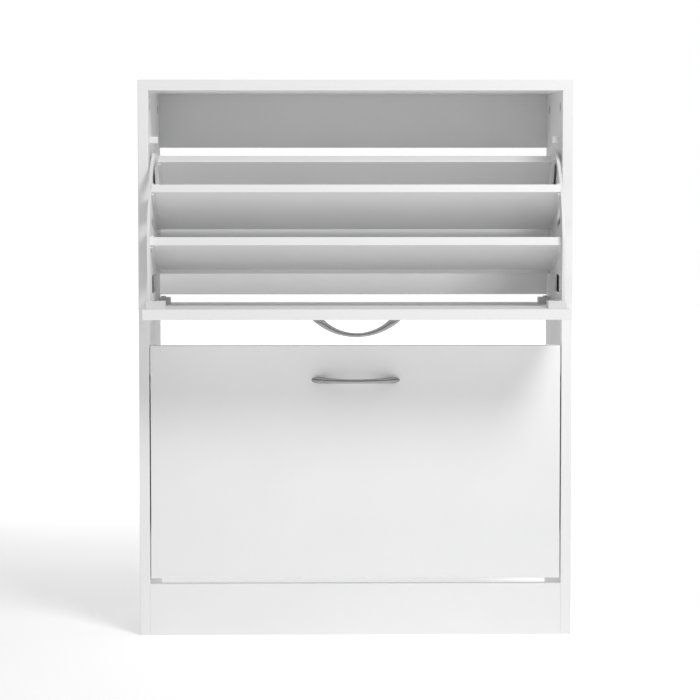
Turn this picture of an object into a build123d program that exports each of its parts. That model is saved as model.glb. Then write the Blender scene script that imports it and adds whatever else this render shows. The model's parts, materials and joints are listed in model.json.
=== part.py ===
from build123d import *
import math
import os

# Shoe cabinet with two tilting flaps, each carrying its own rack of shoe boards.
# Frame: millimetres, +X to the right seen from the front, -Y towards the user, +Z up.
# The origin is on the floor, in the middle of the footprint with the upper flap open.

# ---- driving dimensions ----
WIDTH = 630.0
DEPTH = 240.0
HEIGHT = 810.0
BOARD = 15.0                # side, top and flap panels
THIN = 12.0                 # plinth, rails and shoe boards
EDGE = 1.0                  # rounding of the edge banding

PLINTH_H = 75.5
BOTTOM_GAP = 8.0            # plinth to lower flap
FLAP_H = 341.0
FLAP_GAP = 9.0              # between the two flaps
SIDE_GAP = 2.0              # flap to side panel
FLAP_LOWER_EDGE_R = 2.0

PIVOT_BACK = 82.0           # pivot behind the flap's outer face
PIVOT_UP = 113.0            # pivot above the flap's lower edge
OPEN_ANGLE = 88.0

TOP_RAIL_H = 82.5
RAIL_H = 35.5
RAIL_DROP = 61.0            # pivot to the lower edge of the rail behind it

RACK_BOARD_L = 585.0
FRAME_T = 4.0               # side plate of the rack frame
RIM_R = 165.0
RIM_START = 12.0            # the round rim in degrees from forward, opened position
RIM_STOP = 73.0             # beyond it the closed rim would reach the back
PLATE_ABOVE_FLAP = 4.0
BOSS_FACE_GAP = 0.7         # boss to side panel
BOSS_R = 11.0
PIN_R = 3.0
PIN_L = 17.0
PIN_INSET = 0.8             # boss left between the rack boards and the pin
PIN_CLEARANCE = 0.05
BUSH_R = 6.0
BUSH_L = 12.0

LIP_T = 2.5                 # lips that hold a rack board's end
LIP_W = 4.0
LIP_END = 3.0               # a lip stops short of the board's front edge
FIT = 0.2                   # slack of a board in its lips
FRONT_FOOT = 167.0          # rack feet along the flap, in front of the pivot when open
REAR_FOOT = -33.0
FRONT_FOOT_W = 26.0
REAR_FOOT_W = 20.0
FOOT_H = 10.0
FOOT_L = 30.0

HANDLE_L = 129.0
HANDLE_OUT = 26.0
HANDLE_BELOW_TOP = 50.0
HANDLE_BAR = 6.0
HANDLE_FOOT_L = 17.0        # length of a handle foot on the flap
HANDLE_TIP = 4.0            # rounding of a foot's tip
HANDLE_END_W = 9.5
HANDLE_WAIST_W = 6.2
HANDLE_CENTRES = 112.0

DOWEL_R = 3.0
DOWEL_L = 30.0
DOWEL_IN_FACE = 10.0        # how deep a dowel or bolt goes into the panel face
CAM_R = 7.5
CAM_DEPTH = 9.5
CAM_BOLT_R = 2.5
CAM_SET = 24.0              # cam centre from the board's end
CAM_SLOT = (11.0, 1.5, 1.6) # length, depth and width of the slot in a cam's face
TOP_CAM_DEPTH = 11.5        # cams of the top panel reach its bolts in the thicker side
RAIL_JOINT_OFF = 0.24       # dowel and cam off the rail's middle, per rail height
PLINTH_DOWEL_UP = 0.75      # up the plinth, per plinth height
PLINTH_CAM_UP = 0.35
TOP_DOWELS = (-40.0, 40.0)  # along the sides, from the carcass's middle
TOP_CAMS = (-85.0, 70.0)

STOP_SIZE = 10.0
STOP_OUT = 12.0
STOP_EDGE = 1.5
STOP_UP = 176.5             # stop block's centre above the pivot
STOP_GAP = 0.5              # rack foot to stop block, closed
STOP_PEG_R = 2.5
STOP_PEG_L = 8.0

SCREW_R = 2.0
SCREW_SLACK = 0.2
SCREW_HEAD_R = 3.8
SCREW_HEAD_H = 2.2
FOOT_SCREW_IN = 11.0        # depth of a foot screw in the flap
HANDLE_SCREW_TIP = 5.0      # how far a handle screw reaches past the flap's outer face

# ---- derived places ----
OPEN = math.radians(OPEN_ANGLE)
OPEN_REACH = PIVOT_BACK * math.cos(OPEN) + (FLAP_H - PIVOT_UP) * math.sin(OPEN)
OVERHANG = OPEN_REACH - PIVOT_BACK  # how far the open flap stands out of the carcass
FRONT = (OVERHANG - DEPTH) / 2
BACK = FRONT + DEPTH
CARCASS_Y = (FRONT + BACK) / 2
INNER = WIDTH / 2 - BOARD           # inner face of a side panel
SIDE_TOP = HEIGHT - BOARD
FLAP_W = 2 * (INNER - SIDE_GAP)
PIVOT_Y = FRONT + PIVOT_BACK
LOWER_FLAP_Z = PLINTH_H + BOTTOM_GAP
UPPER_FLAP_Z = LOWER_FLAP_Z + FLAP_H + FLAP_GAP
PIVOT_Z = {"lower": LOWER_FLAP_Z + PIVOT_UP, "upper": UPPER_FLAP_Z + PIVOT_UP}
RACK_X = RACK_BOARD_L / 2           # end of the rack boards, inner face of the side plate
INNER_FACE = PIVOT_BACK - BOARD     # flap's inner face in front of the pivot, closed
RAIL_Z = {
    "lower": PIVOT_Z["lower"] - RAIL_DROP,
    "middle": PIVOT_Z["upper"] - RAIL_DROP,
    "top": SIDE_TOP - TOP_RAIL_H,
}
RAIL_HEIGHT = {"lower": RAIL_H, "middle": RAIL_H, "top": TOP_RAIL_H}
RAIL_Y = BACK - THIN / 2
PLINTH_Y = FRONT + THIN / 2
HANDLE_UP = FLAP_H - PIVOT_UP - HANDLE_BELOW_TOP
STOP_Y = FRONT + BOARD + FOOT_H + STOP_GAP + STOP_SIZE / 2
PIN_IN = RACK_X + PIN_INSET         # inner end of a pivot pin, inside the boss

# Rack boards in the opened position, forward and up from the pivot:
# lower front corner, slope down to the back, depth.
RACK_BOARDS = {
    "front": (152.0, 27.0, 17.0, 140.0),
    "middle": (129.0, 102.0, 24.8, 137.0),
    "back": (-8.0, 144.5, 40.0, 70.0),
    "heel": (-28.0, -22.0, 270.0, 70.0),
}

# Back edge of the rack frame's side plate from the rim down to the rear foot, opened position.
FRAME_BACK = [(-12.0, 155.8), (-74.0, 109.0), (-66.0, 92.0), (-38.0, 56.0), (-38.0, -26.0)]

# Windows of the side plate, in the opened position: between the boards and above the flap.
WINDOWS = [
    [(115, -18), (42, -18), (42, -45), (115, -45)],
    [(122, 58), (114, 80), (60, 54), (56, 40)],
    [(112, 108), (74, 140), (30, 150), (6, 140), (-12, 112), (4, 74), (26, 68)],
]

os.makedirs("parts", exist_ok=True)


def save(piece, name):
    """Labels a finished piece and writes its file."""
    piece.part.label = name
    export_step(piece.part, f"parts/{name}.step")


def turned(x, pivot_z, degrees):
    """A plane across X at the pivot: its x is forward, its y is up, turned open by degrees."""
    a = math.radians(degrees)
    forward = (0, -math.cos(a), -math.sin(a))
    return Plane(origin=(x, PIVOT_Y, pivot_z), x_dir=forward, z_dir=(-1, 0, 0))


def along_board(place, start, stop, low, high):
    """Corners of a strip along a rack board: start to stop down it, low to high above its underside."""
    forward, up, slope, depth = place
    a = math.radians(slope)
    down_back = (-math.cos(a), -math.sin(a))
    normal = (-math.sin(a), math.cos(a))
    return [
        (
            forward + along * down_back[0] + out * normal[0],
            up + along * down_back[1] + out * normal[1],
        )
        for along, out in ((start, low), (stop, low), (stop, high), (start, high))
    ]


# ---- joinery: cams, their bolts and dowels, shared by all fixed boards ----
# A horizontal joint runs from a board's end into a side panel: side, y, z of its line.
DOWEL_SPOTS = []
CAM_SPOTS = []
for side in (-1, 1):
    for rail in ("lower", "middle", "top"):
        middle = RAIL_Z[rail] + RAIL_HEIGHT[rail] / 2
        spread = RAIL_JOINT_OFF * RAIL_HEIGHT[rail]
        DOWEL_SPOTS.append((side, RAIL_Y, middle + spread))
        CAM_SPOTS.append((side, RAIL_Y, middle - spread))
    DOWEL_SPOTS.append((side, PLINTH_Y, PLINTH_DOWEL_UP * PLINTH_H))
    CAM_SPOTS.append((side, PLINTH_Y, PLINTH_CAM_UP * PLINTH_H))

TOP_DOWEL_Y = [CARCASS_Y + off for off in TOP_DOWELS]
TOP_CAM_Y = [CARCASS_Y + off for off in TOP_CAMS]
TOP_JOINT_X = INNER + BOARD / 2


def cut_end_joints(y, z_low, height):
    """Cuts the dowel and bolt bores into both ends of the board at this y."""
    for side, spot_y, z in DOWEL_SPOTS:
        if spot_y == y and z_low < z < z_low + height:
            with Locations(Location((side * INNER, y, z), (0, 90, 0))):
                Cylinder(DOWEL_R, 2 * (DOWEL_L - DOWEL_IN_FACE), mode=Mode.SUBTRACT)
    for side, spot_y, z in CAM_SPOTS:
        if spot_y == y and z_low < z < z_low + height:
            with Locations(Location((side * INNER, y, z), (0, 90, 0))):
                Cylinder(CAM_BOLT_R, 2 * CAM_SET, mode=Mode.SUBTRACT)
            cam_x = side * (INNER - CAM_SET)
            back_face = y + THIN / 2
            with Locations(Location((cam_x, back_face, z), (90, 0, 0))):
                Cylinder(CAM_R, 2 * CAM_DEPTH, mode=Mode.SUBTRACT)


def cut_face_joints(side):
    """Cuts the bores in a side panel for every dowel, bolt, bush and stop peg."""
    for spot_side, y, z in DOWEL_SPOTS:
        if spot_side == side:
            with Locations(Location((side * INNER, y, z), (0, 90, 0))):
                Cylinder(DOWEL_R, 2 * DOWEL_IN_FACE, mode=Mode.SUBTRACT)
    for spot_side, y, z in CAM_SPOTS:
        if spot_side == side:
            with Locations(Location((side * INNER, y, z), (0, 90, 0))):
                Cylinder(CAM_BOLT_R, 2 * DOWEL_IN_FACE, mode=Mode.SUBTRACT)
    for pivot_z in PIVOT_Z.values():
        with Locations(Location((side * INNER, PIVOT_Y, pivot_z), (0, 90, 0))):
            Cylinder(BUSH_R, 2 * BUSH_L, mode=Mode.SUBTRACT)
        with Locations(Location((side * INNER, STOP_Y, pivot_z + STOP_UP), (0, 90, 0))):
            Cylinder(STOP_PEG_R, 2 * STOP_PEG_L, mode=Mode.SUBTRACT)
    for y in TOP_DOWEL_Y:
        with Locations((side * TOP_JOINT_X, y, SIDE_TOP)):
            Cylinder(DOWEL_R, 2 * (DOWEL_L - DOWEL_IN_FACE), mode=Mode.SUBTRACT)
    for y in TOP_CAM_Y:
        with Locations((side * TOP_JOINT_X, y, SIDE_TOP)):
            Cylinder(CAM_BOLT_R, 2 * CAM_SET, mode=Mode.SUBTRACT)
        with Locations(Location((side * INNER, y, SIDE_TOP - CAM_SET), (0, 90, 0))):
            Cylinder(CAM_R, 2 * TOP_CAM_DEPTH, mode=Mode.SUBTRACT)


# ---- side panels ----
for name, side in (("left_side_panel", -1), ("right_side_panel", 1)):
    with BuildPart() as side_panel:
        with BuildSketch(Plane.XY):
            with Locations((side * (INNER + BOARD / 2), CARCASS_Y)):
                Rectangle(BOARD, DEPTH)
        extrude(amount=SIDE_TOP)
        fillet(side_panel.edges().filter_by(Axis.Z), EDGE)
        cut_face_joints(side)
    save(side_panel, name)

# ---- top panel, over the sides ----
with BuildPart() as top_panel:
    with BuildSketch(Plane.XY.offset(SIDE_TOP)):
        with Locations((0, CARCASS_Y)):
            Rectangle(WIDTH, DEPTH)
    extrude(amount=BOARD)
    fillet(top_panel.edges().filter_by(Axis.Z), EDGE)
    fillet(top_panel.edges().group_by(Axis.Z)[-1], EDGE)
    for side in (-1, 1):
        for y in TOP_DOWEL_Y:
            with Locations((side * TOP_JOINT_X, y, SIDE_TOP)):
                Cylinder(DOWEL_R, 2 * DOWEL_IN_FACE, mode=Mode.SUBTRACT)
        for y in TOP_CAM_Y:
            with Locations((side * TOP_JOINT_X, y, SIDE_TOP)):
                Cylinder(CAM_BOLT_R, 2 * DOWEL_IN_FACE, mode=Mode.SUBTRACT)
save(top_panel, "top_panel")

# ---- plinth ----
with BuildPart() as plinth_panel:
    with BuildSketch(Plane.XY):
        with Locations((0, PLINTH_Y)):
            Rectangle(2 * INNER, THIN)
    extrude(amount=PLINTH_H)
    fillet(plinth_panel.edges().filter_by(Axis.X).group_by(Axis.Z)[-1], EDGE)
    cut_end_joints(PLINTH_Y, 0, PLINTH_H)
save(plinth_panel, "plinth_panel")

# ---- back rails ----
for rail in ("lower", "middle", "top"):
    with BuildPart() as back_rail:
        with BuildSketch(Plane.XY.offset(RAIL_Z[rail])):
            with Locations((0, RAIL_Y)):
                Rectangle(2 * INNER, THIN)
        extrude(amount=RAIL_HEIGHT[rail])
        fillet(back_rail.edges().filter_by(Axis.X).group_by(Axis.Z)[0], EDGE)
        cut_end_joints(RAIL_Y, RAIL_Z[rail], RAIL_HEIGHT[rail])
    save(back_rail, f"back_rail_{rail}")

# ---- dowels, cam bolts and cams ----
with BuildPart() as wooden_dowels:
    for side, y, z in DOWEL_SPOTS:
        centre_x = side * (INNER + DOWEL_IN_FACE - DOWEL_L / 2)
        with Locations(Location((centre_x, y, z), (0, 90, 0))):
            Cylinder(DOWEL_R, DOWEL_L)
    for side in (-1, 1):
        for y in TOP_DOWEL_Y:
            with Locations((side * TOP_JOINT_X, y, SIDE_TOP + DOWEL_IN_FACE - DOWEL_L / 2)):
                Cylinder(DOWEL_R, DOWEL_L)
save(wooden_dowels, "wooden_dowels")

CAM_BOLT_L = CAM_SET + DOWEL_IN_FACE
with BuildPart() as cam_bolts:
    for side, y, z in CAM_SPOTS:
        centre_x = side * (INNER + DOWEL_IN_FACE - CAM_BOLT_L / 2)
        with Locations(Location((centre_x, y, z), (0, 90, 0))):
            Cylinder(CAM_BOLT_R, CAM_BOLT_L)
    for side in (-1, 1):
        for y in TOP_CAM_Y:
            with Locations((side * TOP_JOINT_X, y, SIDE_TOP + DOWEL_IN_FACE - CAM_BOLT_L / 2)):
                Cylinder(CAM_BOLT_R, CAM_BOLT_L)
save(cam_bolts, "cam_bolts")

with BuildPart() as cam_locks:
    for side, y, z in CAM_SPOTS:
        cam_x = side * (INNER - CAM_SET)
        back_face = y + THIN / 2
        with Locations(Location((cam_x, back_face - CAM_DEPTH / 2, z), (90, 0, 0))):
            Cylinder(CAM_R, CAM_DEPTH)
        with Locations((cam_x, back_face, z)):
            Box(CAM_SLOT[0], 2 * CAM_SLOT[1], CAM_SLOT[2], mode=Mode.SUBTRACT)
        with Locations(Location((side * INNER, y, z), (0, 90, 0))):
            Cylinder(CAM_BOLT_R, 2 * CAM_SET, mode=Mode.SUBTRACT)
    for side in (-1, 1):
        for y in TOP_CAM_Y:
            centre_x = side * (INNER + TOP_CAM_DEPTH / 2)
            cam_z = SIDE_TOP - CAM_SET
            with Locations(Location((centre_x, y, cam_z), (0, 90, 0))):
                Cylinder(CAM_R, TOP_CAM_DEPTH)
            with Locations((side * INNER, y, cam_z)):
                Box(2 * CAM_SLOT[1], CAM_SLOT[0], CAM_SLOT[2], mode=Mode.SUBTRACT)
            with Locations((side * TOP_JOINT_X, y, SIDE_TOP)):
                Cylinder(CAM_BOLT_R, 2 * CAM_SET, mode=Mode.SUBTRACT)
save(cam_locks, "cam_locks")

# ---- pivot bushes and stop blocks on the side panels ----
for unit, pivot_z in PIVOT_Z.items():
    with BuildPart() as pivot_bushes:
        for side in (-1, 1):
            with Locations(Location((side * (INNER + BUSH_L / 2), PIVOT_Y, pivot_z), (0, 90, 0))):
                Cylinder(BUSH_R, BUSH_L)
            with Locations(Location((side * INNER, PIVOT_Y, pivot_z), (0, 90, 0))):
                Cylinder(PIN_R + PIN_CLEARANCE, 2 * (BUSH_L - 1), mode=Mode.SUBTRACT)
    save(pivot_bushes, f"{unit}_pivot_bushes")

    with BuildPart() as stop_blocks:
        for side in (-1, 1):
            with Locations((side * (INNER - STOP_OUT / 2), STOP_Y, pivot_z + STOP_UP)):
                Box(STOP_OUT, STOP_SIZE, STOP_SIZE)
        fillet(stop_blocks.edges().filter_by(Axis.X), STOP_EDGE)
        for side in (-1, 1):
            peg_x = side * (INNER + STOP_PEG_L / 2)
            with Locations(Location((peg_x, STOP_Y, pivot_z + STOP_UP), (0, 90, 0))):
                Cylinder(STOP_PEG_R, STOP_PEG_L)
    save(stop_blocks, f"{unit}_stop_blocks")


# ---- the tilting units ----


def make_flap(unit, pivot_z, opened):
    """The flap board, with the bores of its handle screws and rack screws."""
    with BuildPart() as flap:
        with BuildSketch(turned(FLAP_W / 2, pivot_z, opened)):
            with Locations((INNER_FACE + BOARD / 2, FLAP_H / 2 - PIVOT_UP)):
                Rectangle(BOARD, FLAP_H)
        extrude(amount=FLAP_W)
        lower = turned(0, pivot_z, opened).from_local_coords((PIVOT_BACK, -PIVOT_UP, 0))
        long_edges = flap.edges().filter_by(Axis.X).sort_by_distance(lower)
        fillet(long_edges[0:1], FLAP_LOWER_EDGE_R)
        rest = flap.edges().filter_by(Axis.X).sort_by_distance(lower)
        fillet(rest[-2:], EDGE)
        for x in (-HANDLE_CENTRES / 2, HANDLE_CENTRES / 2):
            with Locations(across(x, pivot_z, opened, PIVOT_BACK, HANDLE_UP)):
                Cylinder(SCREW_R + SCREW_SLACK, 3 * BOARD, mode=Mode.SUBTRACT)
            with Locations(across(x, pivot_z, opened, INNER_FACE + SCREW_HEAD_H / 2, HANDLE_UP)):
                Cone(
                    SCREW_HEAD_R + SCREW_SLACK,
                    SCREW_R + SCREW_SLACK,
                    SCREW_HEAD_H,
                    mode=Mode.SUBTRACT,
                )
        for x, along in foot_spots():
            with Locations(across(x, pivot_z, opened, INNER_FACE, along)):
                Cylinder(SCREW_R, 2 * FOOT_SCREW_IN, mode=Mode.SUBTRACT)
    save(flap, f"{unit}_flap_panel")


def across(x, pivot_z, opened, forward, up):
    """A location at this point of the flap, with its z axis along the flap's outward normal."""
    plane = turned(x, pivot_z, opened)
    outward = plane.x_dir
    spot = plane.from_local_coords((forward, up, 0))
    return Plane(origin=spot, x_dir=(1, 0, 0), z_dir=outward).location


def foot_spots():
    """Where the rack's feet are screwed on: x, and distance above the pivot when closed."""
    outer = RACK_X + FRAME_T
    feet = ((FRONT_FOOT, FRONT_FOOT_W), (REAR_FOOT, REAR_FOOT_W))
    return [(side * (outer - width / 2), along) for side in (-1, 1) for along, width in feet]


def make_handle(unit, pivot_z, opened):
    """A bow pull: a circular arc that thins to the middle and widens at both feet."""
    centre = across(0, pivot_z, opened, PIVOT_BACK, HANDLE_UP)
    face = Plane(centre)
    bow = Plane(origin=face.origin, x_dir=face.x_dir, z_dir=-face.y_dir)
    half = HANDLE_L / 2
    foot = HANDLE_FOOT_L
    tip = half - HANDLE_TIP
    with BuildPart() as handle:
        with BuildSketch(bow):
            with BuildLine():
                ThreePointArc((-half, 0), (0, HANDLE_OUT), (half, 0))
                Line((half, 0), (half - foot, 0))
                ThreePointArc((half - foot, 0), (0, HANDLE_OUT - HANDLE_BAR), (foot - half, 0))
                Line((foot - half, 0), (-half, 0))
            make_face()
        extrude(amount=HANDLE_END_W / 2, both=True)
        with BuildSketch(face):
            with BuildLine():
                end = HANDLE_END_W / 2
                waist = HANDLE_WAIST_W / 2
                ThreePointArc((-tip, end), (0, waist), (tip, end))
                ThreePointArc((tip, end), (half, 0), (tip, -end))
                ThreePointArc((tip, -end), (0, -waist), (-tip, -end))
                ThreePointArc((-tip, -end), (-half, 0), (-tip, end))
            make_face()
        extrude(amount=HANDLE_OUT + 1, mode=Mode.INTERSECT)
        for x in (-HANDLE_CENTRES / 2, HANDLE_CENTRES / 2):
            with Locations(across(x, pivot_z, opened, PIVOT_BACK, HANDLE_UP)):
                Cylinder(SCREW_R, 2 * HANDLE_SCREW_TIP, mode=Mode.SUBTRACT)
    save(handle, f"{unit}_handle")


def make_handle_screws(unit, pivot_z, opened):
    """Two countersunk screws, flush in the flap's inner face, into the handle's feet."""
    length = BOARD + HANDLE_SCREW_TIP
    with BuildPart() as screws:
        for x in (-HANDLE_CENTRES / 2, HANDLE_CENTRES / 2):
            with Locations(across(x, pivot_z, opened, INNER_FACE + length / 2, HANDLE_UP)):
                Cylinder(SCREW_R, length)
            with Locations(across(x, pivot_z, opened, INNER_FACE + SCREW_HEAD_H / 2, HANDLE_UP)):
                Cone(SCREW_HEAD_R, SCREW_R, SCREW_HEAD_H)
    save(screws, f"{unit}_handle_screws")


def make_rack_boards(unit, pivot_z, opened):
    """Three sloping shoe boards and the narrow heel board."""
    for name, place in RACK_BOARDS.items():
        with BuildPart() as board:
            with BuildSketch(turned(RACK_X, pivot_z, opened - OPEN_ANGLE)):
                Polygon(*along_board(place, 0, place[3], 0, THIN), align=None)
            extrude(amount=RACK_BOARD_L)
            fillet(board.edges().filter_by(Axis.X), EDGE / 2)
        save(board, f"{unit}_rack_board_{name}")


def rim_point(degrees):
    """A point on the rack frame's round rim, opened position."""
    a = math.radians(degrees)
    return (RIM_R * math.cos(a), RIM_R * math.sin(a))


def flap_line(along, above):
    """A point above the flap's inner face, in the opened position of the rack."""
    a = math.radians(OPEN_ANGLE)
    x = INNER_FACE - above
    return (x * math.cos(a) + along * math.sin(a), along * math.cos(a) - x * math.sin(a))


def make_rack_frame(unit, pivot_z, opened, side):
    """A moulded side plate: round rim, windows, lips for the boards, two feet and the pivot boss."""
    turn = opened - OPEN_ANGLE
    plate_in = side * RACK_X
    plate_out = side * (RACK_X + FRAME_T)
    # The sketch planes face -X, so a positive amount always runs towards -X.
    right_x = max(plate_in, plate_out)
    with BuildPart() as frame:
        with BuildSketch(turned(right_x, pivot_z, turn)):
            with BuildLine():
                Polyline(
                    flap_line(FRONT_FOOT + FOOT_L / 2, 0),
                    flap_line(FRONT_FOOT + FOOT_L / 2, FOOT_H),
                    flap_line(FRONT_FOOT - FOOT_L / 2, FOOT_H),
                    rim_point(RIM_START),
                )
                ThreePointArc(
                    rim_point(RIM_START),
                    rim_point((RIM_START + RIM_STOP) / 2),
                    rim_point(RIM_STOP),
                )
                Polyline(
                    rim_point(RIM_STOP),
                    *FRAME_BACK,
                    flap_line(REAR_FOOT - FOOT_L / 2, FOOT_H),
                    flap_line(REAR_FOOT - FOOT_L / 2, 0),
                    flap_line(REAR_FOOT + FOOT_L / 2, 0),
                    flap_line(REAR_FOOT + FOOT_L / 2, PLATE_ABOVE_FLAP),
                    flap_line(FRONT_FOOT - FOOT_L / 2, PLATE_ABOVE_FLAP),
                    flap_line(FRONT_FOOT - FOOT_L / 2, 0),
                    flap_line(FRONT_FOOT + FOOT_L / 2, 0),
                )
            make_face()
            # windows between the boards
            for window in WINDOWS:
                Polygon(*window, align=None, mode=Mode.SUBTRACT)
        extrude(amount=FRAME_T)

        lip_right = max(plate_in, plate_in - side * LIP_W)
        for place in RACK_BOARDS.values():
            with BuildSketch(turned(lip_right, pivot_z, turn)):
                lips = (LIP_END, place[3] - LIP_END, -FIT - LIP_T, THIN + FIT + LIP_T)
                Polygon(*along_board(place, *lips), align=None)
            extrude(amount=LIP_W)
        for place in RACK_BOARDS.values():
            with BuildSketch(turned(lip_right, pivot_z, turn)):
                Polygon(*along_board(place, -LIP_END, place[3] + FIT, -FIT, THIN + FIT), align=None)
            extrude(amount=LIP_W, mode=Mode.SUBTRACT)

        for along, width in ((FRONT_FOOT, FRONT_FOOT_W), (REAR_FOOT, REAR_FOOT_W)):
            foot_right = max(plate_out, plate_out - side * width)
            with BuildSketch(turned(foot_right, pivot_z, turn)):
                Polygon(
                    flap_line(along - FOOT_L / 2, 0),
                    flap_line(along + FOOT_L / 2, 0),
                    flap_line(along + FOOT_L / 2, FOOT_H),
                    flap_line(along - FOOT_L / 2, FOOT_H),
                    align=None,
                )
            extrude(amount=width)

        # pivot boss, outside the plate
        boss_l = INNER - BOSS_FACE_GAP - RACK_X
        boss_x = side * (RACK_X + boss_l / 2)
        with Locations(Location((boss_x, PIVOT_Y, pivot_z), (0, 90, 0))):
            Cylinder(BOSS_R, boss_l)
        pin_x = side * (PIN_IN + PIN_L / 2)
        with Locations(Location((pin_x, PIVOT_Y, pivot_z), (0, 90, 0))):
            Cylinder(PIN_R, PIN_L, mode=Mode.SUBTRACT)
        for x, along in foot_spots():
            if x * side > 0:
                with Locations(across(x, pivot_z, opened, INNER_FACE - FOOT_H / 2, along)):
                    Cylinder(SCREW_R + SCREW_SLACK, 2 * FOOT_H, mode=Mode.SUBTRACT)
    name = "left" if side < 0 else "right"
    save(frame, f"{unit}_rack_frame_{name}")


def make_pins(unit, pivot_z):
    """The two steel pivot pins, pressed into the rack frames' bosses."""
    with BuildPart() as pins:
        for side in (-1, 1):
            with Locations(Location((side * (PIN_IN + PIN_L / 2), PIVOT_Y, pivot_z), (0, 90, 0))):
                Cylinder(PIN_R, PIN_L)
    save(pins, f"{unit}_pivot_pins")


def make_rack_screws(unit, pivot_z, opened):
    """Four screws through the rack's feet into the flap."""
    length = FOOT_H + FOOT_SCREW_IN
    with BuildPart() as screws:
        for x, along in foot_spots():
            start = INNER_FACE - FOOT_H
            with Locations(across(x, pivot_z, opened, start + length / 2, along)):
                Cylinder(SCREW_R, length)
            with Locations(across(x, pivot_z, opened, start - SCREW_HEAD_H / 2, along)):
                Cylinder(SCREW_HEAD_R, SCREW_HEAD_H)
    save(screws, f"{unit}_rack_screws")


for unit, opened in (("upper", OPEN_ANGLE), ("lower", 0.0)):
    pivot_z = PIVOT_Z[unit]
    make_flap(unit, pivot_z, opened)
    make_handle(unit, pivot_z, opened)
    make_handle_screws(unit, pivot_z, opened)
    make_rack_boards(unit, pivot_z, opened)
    make_rack_frame(unit, pivot_z, opened, -1)
    make_rack_frame(unit, pivot_z, opened, 1)
    make_pins(unit, pivot_z)
    make_rack_screws(unit, pivot_z, opened)
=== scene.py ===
import json
import math

import bmesh
import bpy
from mathutils import Matrix, Vector


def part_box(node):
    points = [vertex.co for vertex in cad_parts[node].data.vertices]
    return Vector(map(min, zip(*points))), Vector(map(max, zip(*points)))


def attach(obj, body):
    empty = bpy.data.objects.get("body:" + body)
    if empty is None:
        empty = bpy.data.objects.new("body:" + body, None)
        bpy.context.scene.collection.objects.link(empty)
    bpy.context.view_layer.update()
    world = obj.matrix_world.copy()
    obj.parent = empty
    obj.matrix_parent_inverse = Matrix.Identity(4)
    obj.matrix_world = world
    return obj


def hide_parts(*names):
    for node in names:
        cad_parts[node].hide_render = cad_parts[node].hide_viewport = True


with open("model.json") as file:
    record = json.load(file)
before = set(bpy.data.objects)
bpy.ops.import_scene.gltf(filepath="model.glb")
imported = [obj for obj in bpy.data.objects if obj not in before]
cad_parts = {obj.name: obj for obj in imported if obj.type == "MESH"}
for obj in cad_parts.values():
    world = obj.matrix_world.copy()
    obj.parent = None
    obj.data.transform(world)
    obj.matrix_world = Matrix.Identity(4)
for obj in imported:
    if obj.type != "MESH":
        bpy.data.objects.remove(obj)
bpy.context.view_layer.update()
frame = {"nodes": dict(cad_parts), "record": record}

MM = 0.001

SHARP = math.radians(40)            # a CAD edge over this angle gets rounded
CLOSE_NORMALS = 0.55                # cosine of the widest angle that shares a normal

# Fine shapes, in millimetres
PANEL_EDGE = 0.4                    # radii of rounded edges
FLAP_EDGE = 0.9
RACK_BOARD_EDGE = 0.3
FRAME_EDGE = 0.5

SCREW_HEAD_R, SCREW_HEAD_H, SCREW_DOME = 3.7, 2.2, 0.9
SCREW_SHANK_R, SCREW_TIP_R, SCREW_TIP_L = 1.9, 0.4, 3.0
SCREW_CROSS = (0.55, 2.2, 1.3)      # half width, reach and depth of a cross recess
CAM_R, CAM_DOME = 7.45, 0.25
CAM_CROSS = (0.9, 4.6, 2.4)
PART_GAP = 0.05                     # between a screw's head and its shank

DOWEL_R, DOWEL_END_R, DOWEL_CHAMFER = 2.95, 2.3, 0.8
DOWEL_FLUTES, FLUTE_DEPTH = 12, 0.035   # depth as a share of the radius

HANDLE_HALF, HANDLE_OUT = 64.5, 26.0
HANDLE_ARCH_HALF, HANDLE_ARCH_OUT = 47.5, 20.0
HANDLE_END_W, HANDLE_WAIST_W = 9.5, 6.2
HANDLE_TIP_INSET = 0.15
HANDLE_WIDEST = 0.8                 # where the feet are widest, as a share of the half length
HANDLE_SECTION = 2.6                # power of the section's superellipse

# Noise stretches
EVEN = (1, 1, 1)
ALONG_X = (0.08, 1, 1)
BRUSHED_X = (0.06, 1, 1)

RECORD = frame["record"]
BODY_OF = {}
for body_name, node_names in RECORD["behaviour"]["bodies"].items():
    for node_name in node_names:
        BODY_OF[node_name] = body_name
SLOT_OF = {row["node"]: row["material_slot"] for row in RECORD["subparts"]}
JOINT_OF = {row["child"]: row for row in RECORD["behaviour"]["joints"]}


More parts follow.
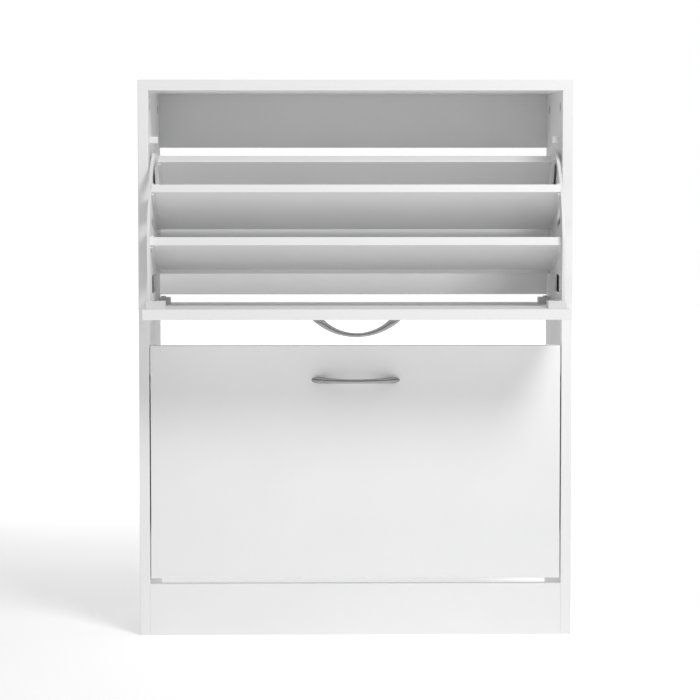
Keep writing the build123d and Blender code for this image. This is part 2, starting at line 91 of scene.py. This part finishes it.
# ---- materials ----
class Nodes:
    """A material's node tree, with short calls for the few nodes used here."""

    def __init__(self, name):
        self.material = bpy.data.materials.new(name)
        self.material.use_nodes = True
        self.tree = self.material.node_tree
        self.shader = self.tree.nodes["Principled BSDF"]
        self.coords = self.tree.nodes.new("ShaderNodeTexCoord").outputs["Object"]

    def link(self, source, target):
        self.tree.links.new(source, target)

    def noise(self, scale, detail, stretch=EVEN):
        """Noise in object space, with scale in features per metre."""
        mapping = self.tree.nodes.new("ShaderNodeMapping")
        mapping.inputs["Scale"].default_value = stretch
        self.link(self.coords, mapping.inputs["Vector"])
        node = self.tree.nodes.new("ShaderNodeTexNoise")
        node.inputs["Scale"].default_value = scale
        node.inputs["Detail"].default_value = detail
        self.link(mapping.outputs["Vector"], node.inputs["Vector"])
        return node.outputs["Fac"]

    def span(self, value, low, high):
        """Spreads a 0.3 to 0.7 noise over low to high."""
        node = self.tree.nodes.new("ShaderNodeMapRange")
        node.inputs["From Min"].default_value = 0.3
        node.inputs["From Max"].default_value = 0.7
        node.inputs["To Min"].default_value = low
        node.inputs["To Max"].default_value = high
        self.link(value, node.inputs["Value"])
        return node.outputs["Result"]

    def tint(self, value, dark, light):
        """Mixes two colours by a 0 to 1 value into the base colour."""
        node = self.tree.nodes.new("ShaderNodeMix")
        node.data_type = "RGBA"
        node.inputs["A"].default_value = (*dark, 1)
        node.inputs["B"].default_value = (*light, 1)
        self.link(value, node.inputs["Factor"])
        self.link(node.outputs["Result"], self.shader.inputs["Base Color"])

    def rough(self, value):
        self.link(value, self.shader.inputs["Roughness"])

    def bump(self, layers):
        """Adds up (height, depth in metres) layers into the normal."""
        previous = None
        for height, depth in layers:
            node = self.tree.nodes.new("ShaderNodeBump")
            node.inputs["Strength"].default_value = 1.0
            node.inputs["Distance"].default_value = depth
            self.link(height, node.inputs["Height"])
            if previous is not None:
                self.link(previous, node.inputs["Normal"])
            previous = node.outputs["Normal"]
        self.link(previous, self.shader.inputs["Normal"])

    def set(self, **values):
        for key, value in values.items():
            self.shader.inputs[key.replace("_", " ")].default_value = value


def white_board():
    """Satin melamine foil on board: faint pearly mottling and a fine orange-peel skin."""
    n = Nodes("white_melamine")
    n.tint(n.span(n.noise(9, 3), 0, 1), (0.885, 0.885, 0.888), (0.905, 0.905, 0.902))
    n.rough(n.span(n.noise(160, 5), 0.36, 0.50))
    n.bump([(n.noise(1400, 2), 0.012 * MM), (n.noise(260, 2), 0.02 * MM)])
    n.set(Specular_IOR_Level=0.42)
    return n.material


def white_plastic():
    """Moulded polypropylene: fine spark-eroded grain and slight flow marks."""
    n = Nodes("white_moulded_plastic")
    n.tint(n.span(n.noise(14, 4), 0, 1), (0.83, 0.83, 0.835), (0.87, 0.87, 0.87))
    n.rough(n.span(n.noise(420, 4), 0.42, 0.58))
    n.bump([(n.noise(2600, 3), 0.03 * MM), (n.noise(40, 2), 0.08 * MM)])
    n.set(Specular_IOR_Level=0.45)
    return n.material


def brushed_metal(name, dark, light, rough, stretch):
    """Plated metal with fine brush lines along one axis."""
    n = Nodes(name)
    n.tint(n.span(n.noise(900, 3, stretch), 0, 1), dark, light)
    n.rough(n.span(n.noise(1500, 4, stretch), *rough))
    n.bump([(n.noise(2200, 3, stretch), 0.003 * MM)])
    n.set(Metallic=1.0)
    return n.material


def cast_zinc():
    """Die-cast zinc, grainy and dull."""
    n = Nodes("die_cast_zinc")
    n.tint(n.span(n.noise(500, 5), 0, 1), (0.42, 0.42, 0.43), (0.60, 0.60, 0.60))
    n.rough(n.span(n.noise(900, 5), 0.38, 0.62))
    n.bump([(n.noise(1300, 4), 0.06 * MM)])
    n.set(Metallic=1.0)
    return n.material


def beech():
    """Beech with its grain along X, as most of the dowels lie."""
    n = Nodes("beech_dowel")
    grain = n.noise(260, 6, ALONG_X)
    n.tint(n.span(grain, 0, 1), (0.46, 0.30, 0.17), (0.70, 0.52, 0.34))
    n.rough(n.span(n.noise(500, 3), 0.55, 0.75))
    n.bump([(grain, 0.12 * MM)])
    return n.material


MATERIALS = {
    "white_board": white_board(),
    "white_plastic": white_plastic(),
    "satin_nickel": brushed_metal(
        "satin_nickel", (0.33, 0.33, 0.33), (0.42, 0.42, 0.42), (0.18, 0.28), BRUSHED_X),
    "steel": brushed_metal(
        "zinc_plated_steel", (0.50, 0.50, 0.51), (0.68, 0.68, 0.67), (0.22, 0.38), EVEN),
    "zinc": cast_zinc(),
    "dowel_wood": beech(),
}


# ---- pieces ----
def stand_for(piece, node):
    """Gives a new piece the body, slot and material of the CAD node it stands for."""
    piece.data.materials.clear()
    piece.data.materials.append(MATERIALS[SLOT_OF[node]])
    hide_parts(node)
    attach(piece, BODY_OF[node])
    return piece


def mesh_piece(name, bm, smooth_degrees=35):
    """Turns a bmesh into an object, smooth except at its sharp edges."""
    mesh = bpy.data.meshes.new(name)
    bm.normal_update()
    for edge in bm.edges:
        if len(edge.link_faces) == 2:
            edge.smooth = edge.calc_face_angle(0) < math.radians(smooth_degrees)
    for face in bm.faces:
        face.smooth = True
    bm.to_mesh(mesh)
    bm.free()
    piece = bpy.data.objects.new(name, mesh)
    bpy.context.scene.collection.objects.link(piece)
    return piece


def clean_copy(node):
    """The CAD node's mesh with its seams closed and its flat faces made whole."""
    bm = bmesh.new()
    bm.from_mesh(frame["nodes"][node].data)
    bmesh.ops.remove_doubles(bm, verts=bm.verts, dist=1e-6)
    bmesh.ops.dissolve_limit(
        bm, angle_limit=math.radians(0.5), verts=bm.verts, edges=bm.edges)
    return bm


def flatten_broad_faces(mesh):
    """Gives every corner the normal of the broadest smooth face beside it, so boards stay flat."""
    faces_at = {}
    for face in mesh.polygons:
        for vert in face.vertices:
            faces_at.setdefault(vert, []).append(face)
    normals = []
    for face in mesh.polygons:
        for vert in face.vertices:
            near = [f for f in faces_at[vert] if f.normal.dot(face.normal) > CLOSE_NORMALS]
            normals.append(max(near, key=lambda f: f.area).normal.copy())
    mesh.normals_split_custom_set(normals)


def softened(node, radius, segments=2):
    """The CAD node with its sharp edges rounded inwards, by a radius in millimetres."""
    bm = clean_copy(node)
    sharp = []
    for edge in bm.edges:
        if len(edge.link_faces) == 2 and edge.calc_face_angle(0) > SHARP:
            sharp.append(edge)
    bmesh.ops.bevel(
        bm, geom=sharp, offset=radius * MM, segments=segments, profile=0.5,
        affect="EDGES", clamp_overlap=True, harden_normals=False)
    bmesh.ops.triangulate(bm, faces=[f for f in bm.faces if len(f.verts) > 4])
    piece = mesh_piece(node + "_shaped", bm)
    flatten_broad_faces(piece.data)
    return stand_for(piece, node)


def box_of(points):
    """Lowest and highest corner of some points."""
    low = Vector(min(p[i] for p in points) for i in range(3))
    high = Vector(max(p[i] for p in points) for i in range(3))
    return low, high


def mean_of(points):
    """The mean of some points, rounded to a tenth of a millimetre."""
    return tuple(round(sum(p[i] for p in points) / len(points), 4) for i in range(3))


def solids(node):
    """The points of each separate solid in a CAD node, in a fixed order."""
    bm = clean_copy(node)
    left = set(bm.verts)
    found = []
    while left:
        island = {left.pop()}
        front = list(island)
        while front:
            vert = front.pop()
            for edge in vert.link_edges:
                other = edge.other_vert(vert)
                if other in left:
                    left.remove(other)
                    island.add(other)
                    front.append(other)
        found.append([v.co.copy() for v in island])
    bm.free()
    found.sort(key=mean_of)
    return found


def ring_of(bm, matrix, radius, height, around):
    """Adds a ring of vertices about the matrix's z axis, in millimetres."""
    ring = []
    for k in range(around):
        a = 2 * math.pi * k / around
        point = Vector((radius * math.cos(a), radius * math.sin(a), height)) * MM
        ring.append(bm.verts.new(matrix @ point))
    return ring


def skin(bm, rows):
    """Joins closed rows of vertices, one to the next."""
    for low, high in zip(rows, rows[1:]):
        for k in range(len(low)):
            n = (k + 1) % len(low)
            bm.faces.new((low[k], low[n], high[n], high[k]))


def close_ends(bm, rows):
    """Closes the first and the last row of a skin."""
    bm.faces.new(list(reversed(rows[0])))
    bm.faces.new(rows[-1])


def turned_body(bm, matrix, profile):
    """Adds a closed turned solid: profile is (radius, height) from bottom to top."""
    rings = [ring_of(bm, matrix, radius, height, 24) for radius, height in profile]
    skin(bm, rings)
    close_ends(bm, rings)


def ramp(distance, width):
    """0 outside, 1 inside, rising over this width."""
    return max(0.0, min(1.0, distance / width))


def recessed_head(bm, matrix, radius, foot_radius, height, dome, cross):
    """Adds a round head with a cross recess, over a straight or conical wall, in millimetres."""
    rings, around = 22, 96
    half, reach, depth = cross
    rows = []
    for i in range(rings, 0, -1):
        r = radius * i / rings
        row = []
        for k in range(around):
            a = 2 * math.pi * k / around
            x, y = r * math.cos(a), r * math.sin(a)
            across, along = sorted((abs(x), abs(y)))
            inside = min(ramp(half - across, 0.35 * half), ramp(reach - along, 0.25 * reach))
            z = height - dome * (r / radius) ** 3 - depth * inside
            row.append(bm.verts.new(matrix @ (Vector((x, y, z)) * MM)))
        rows.append(row)
    rows.insert(0, ring_of(bm, matrix, foot_radius, 0, around))
    skin(bm, rows)
    bm.faces.new(list(reversed(rows[0])))
    middle = bm.verts.new(matrix @ Vector((0, 0, (height - depth) * MM)))
    for k in range(around):
        bm.faces.new((middle, rows[-1][k], rows[-1][(k + 1) % around]))


def axis_matrix(origin, direction):
    """Local z along direction, from origin."""
    turn = Vector(direction).to_track_quat("Z", "X").to_matrix().to_4x4()
    return Matrix.Translation(origin) @ turn


def flap_pose(unit):
    """The rest pose of a unit: closed coordinates from the pivot, turned open about it."""
    joint = JOINT_OF[unit + "_flap"]
    opened = math.radians(-joint["range_deg"][0])
    return Matrix.Translation(joint["pos_m"]) @ Matrix.Rotation(opened, 4, "X")


def screws(node, unit, flush):
    """Cross-head screws facing the inside of the flap: countersunk and flush, or pan-headed."""
    inward = (flap_pose(unit).to_3x3() @ Vector((0, 1, 0))).normalized()
    bm = bmesh.new()
    foot_r, dome = (SCREW_SHANK_R, 0.0) if flush else (SCREW_HEAD_R, SCREW_DOME)
    for points in solids(node):
        low, high = box_of(points)
        middle = (low + high) / 2
        along = [p.dot(inward) for p in points]
        head_top = middle + inward * (max(along) - middle.dot(inward))
        shank = (max(along) - min(along)) / MM - SCREW_HEAD_H
        matrix = axis_matrix(head_top - inward * SCREW_HEAD_H * MM, inward)
        recessed_head(bm, matrix, SCREW_HEAD_R, foot_r, SCREW_HEAD_H, dome, SCREW_CROSS)
        turned_body(bm, matrix, [
            (SCREW_TIP_R, -shank),
            (SCREW_SHANK_R, SCREW_TIP_L - shank),
            (SCREW_SHANK_R, -PART_GAP),
        ])
    return stand_for(mesh_piece(node + "_shaped", bm), node)


def cams():
    """Cam discs with a cross recess, each facing out of its board."""
    node = "cam_locks"
    bm = bmesh.new()
    for points in solids(node):
        low, high = box_of(points)
        middle, spread = (low + high) / 2, list(high - low)
        facing = Vector((0, 1, 0))
        if spread[0] == min(spread):
            facing = Vector((-1 if middle.x > 0 else 1, 0, 0))
        deep = min(spread)
        matrix = axis_matrix(middle - facing * deep / 2, facing)
        recessed_head(bm, matrix, CAM_R, CAM_R, deep / MM, CAM_DOME, CAM_CROSS)
    return stand_for(mesh_piece(node + "_shaped", bm), node)


def dowels():
    """Fluted beech dowels with chamfered ends."""
    node = "wooden_dowels"
    bm = bmesh.new()
    around = 72
    for points in solids(node):
        low, high = box_of(points)
        middle, spread = (low + high) / 2, list(high - low)
        axis = Vector((0, 0, 0))
        axis[spread.index(max(spread))] = 1
        matrix = axis_matrix(middle - axis * max(spread) / 2, axis)
        length = max(spread) / MM
        profile = (
            (0, DOWEL_END_R),
            (DOWEL_CHAMFER, DOWEL_R),
            (length - DOWEL_CHAMFER, DOWEL_R),
            (length, DOWEL_END_R),
        )
        rows = []
        for along, radius in profile:
            row = []
            for k in range(around):
                a = 2 * math.pi * k / around
                r = radius * (1 - FLUTE_DEPTH * max(0.0, math.cos(DOWEL_FLUTES * a)))
                point = Vector((r * math.cos(a), r * math.sin(a), along)) * MM
                row.append(bm.verts.new(matrix @ point))
            rows.append(row)
        skin(bm, rows)
        close_ends(bm, rows)
    return stand_for(mesh_piece(node + "_shaped", bm), node)


def arc_height(x, half, rise):
    """Height over its chord of a circular arc of this half chord and rise."""
    radius = (half * half + rise * rise) / (2 * rise)
    if abs(x) >= half:
        return 0.0
    return math.sqrt(radius * radius - x * x) - (radius - rise)


def handle_width(share):
    """Width of the handle at this share of its half length: a waist, then leaf-shaped feet."""
    grown = min(1.0, share / HANDLE_WIDEST) ** 2
    width = HANDLE_WAIST_W + (HANDLE_END_W - HANDLE_WAIST_W) * grown
    if share > HANDLE_WIDEST:
        past = (share - HANDLE_WIDEST) / (1 - HANDLE_WIDEST)
        width *= math.sqrt(max(0.02, 1 - past ** 2))
    return width


def rounded(value):
    """A cosine or sine of the section's angle, squared off to a superellipse."""
    return math.copysign(abs(value) ** (2 / HANDLE_SECTION), value)


def handle(unit):
    """A bow pull: rounded sections along the arc."""
    node = unit + "_handle"
    pose = flap_pose(unit)
    box_low, box_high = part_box("lower_handle")
    pivot = Vector(JOINT_OF["lower_flap"]["pos_m"])
    up = (box_low.z + box_high.z) / 2 - pivot.z
    face = box_high.y - pivot.y
    stations, around = 121, 32
    bm = bmesh.new()
    rows = []
    for i in range(stations):
        turn = math.pi * (i / (stations - 1) - 0.5)
        x = (HANDLE_HALF - HANDLE_TIP_INSET) * math.sin(turn)
        outer = arc_height(x, HANDLE_HALF, HANDLE_OUT)
        inner = arc_height(x, HANDLE_ARCH_HALF, HANDLE_ARCH_OUT)
        width = handle_width(abs(x) / HANDLE_HALF)
        row = []
        for k in range(around):
            a = 2 * math.pi * k / around
            across = rounded(math.cos(a)) * width / 2
            out = (outer + inner) / 2 + rounded(math.sin(a)) * (outer - inner) / 2
            point = Vector((x * MM, face - out * MM, up + across * MM))
            row.append(bm.verts.new(pose @ point))
        rows.append(row)
    skin(bm, rows)
    close_ends(bm, rows)
    bmesh.ops.recalc_face_normals(bm, faces=bm.faces)
    return stand_for(mesh_piece(node + "_shaped", bm, smooth_degrees=50), node)


FIXED_BOARDS = ("plinth_panel", "back_rail_lower", "back_rail_middle", "back_rail_top",
                "left_side_panel", "right_side_panel", "top_panel")
for board in FIXED_BOARDS:
    softened(board, PANEL_EDGE)
for unit in ("upper", "lower"):
    softened(unit + "_flap_panel", FLAP_EDGE, 3)
    for board in ("front", "middle", "back", "heel"):
        softened(f"{unit}_rack_board_{board}", RACK_BOARD_EDGE)
    for side in ("left", "right"):
        softened(f"{unit}_rack_frame_{side}", FRAME_EDGE)
    handle(unit)
    screws(unit + "_handle_screws", unit, flush=True)
    screws(unit + "_rack_screws", unit, flush=False)
cams()
dowels()

# The nodes that stay as CAD: pins, bushes, bolts and stop blocks.
for name, obj in frame["nodes"].items():
    if not obj.hide_render:
        obj.data.materials.clear()
        obj.data.materials.append(MATERIALS[SLOT_OF[name]])


# ---- stage, light and camera ----
def floor_material():
    """A pale studio floor with a little light of its own, so that it stays near white."""
    n = Nodes("pale_floor")
    n.tint(n.span(n.noise(1.5, 3), 0, 1), (0.90, 0.90, 0.90), (0.92, 0.92, 0.92))
    n.rough(n.span(n.noise(8, 3), 0.75, 0.85))
    n.set(Emission_Color=(1, 1, 1, 1), Emission_Strength=0.36)
    return n.material


def make_floor(reach):
    """A square floor under the part, this far out from the middle."""
    bm = bmesh.new()
    square = ((-reach, -reach), (reach, -reach), (reach, reach), (-reach, reach))
    bm.faces.new([bm.verts.new((x, y, 0)) for x, y in square])
    floor = mesh_piece("floor", bm)
    floor.data.materials.append(floor_material())


def area_light(name, place, target, size, power):
    """A round white soft light at place, turned to target."""
    data = bpy.data.lights.new(name, "AREA")
    data.shape = "DISK"
    data.size = size
    data.energy = power
    light = bpy.data.objects.new(name, data)
    light.location = place
    aim = Vector(target) - Vector(place)
    light.rotation_mode = "QUATERNION"
    light.rotation_quaternion = aim.to_track_quat("-Z", "Y")
    bpy.context.scene.collection.objects.link(light)


def backdrop_light(place, cone, radius, power):
    """Lights the floor behind the cabinet from above, in a cone that misses the cabinet."""
    data = bpy.data.lights.new("backdrop", "SPOT")
    data.spot_size = math.radians(cone)
    data.spot_blend = 0.35
    data.shadow_soft_size = radius
    data.energy = power
    light = bpy.data.objects.new("backdrop", data)
    light.location = place
    bpy.context.scene.collection.objects.link(light)


def make_world(seen, light):
    """A white surround that lights the part less than its own white would."""
    world = bpy.data.worlds.new("studio")
    world.use_nodes = True
    tree = world.node_tree
    background = tree.nodes["Background"]
    background.inputs["Color"].default_value = (1, 1, 1, 1)
    path = tree.nodes.new("ShaderNodeLightPath")
    strength = tree.nodes.new("ShaderNodeMapRange")
    strength.inputs["To Min"].default_value = light
    strength.inputs["To Max"].default_value = seen
    tree.links.new(path.outputs["Is Camera Ray"], strength.inputs["Value"])
    tree.links.new(strength.outputs["Result"], background.inputs["Strength"])
    bpy.context.scene.world = world


def make_camera():
    """A long lens a little above the open flap and left of the middle, tilted slightly down."""
    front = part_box("plinth_panel")[0].y
    data = bpy.data.cameras.new("camera")
    data.sensor_width = 36.0
    data.lens = 117.1
    data.shift_y = -0.1074
    data.dof.use_dof = False
    camera = bpy.data.objects.new("camera", data)
    camera.location = (-0.0474, front - 3.3013, 0.7007)
    down, right = math.radians(3.0), math.radians(0.682)
    camera.rotation_euler = (math.pi / 2 - down, 0, -right)
    bpy.context.scene.collection.objects.link(camera)
    bpy.context.scene.camera = camera


make_floor(reach=7.0)
make_world(seen=1.0, light=0.33)
area_light("key", place=(1.0, -1.8, 2.35), target=(0, 0, 0.6), size=1.0, power=38)
backdrop_light(place=(0, 4.3, 5.0), cone=78, radius=0.8, power=950)
make_camera()
bpy.context.scene.view_settings.view_transform = "Standard"
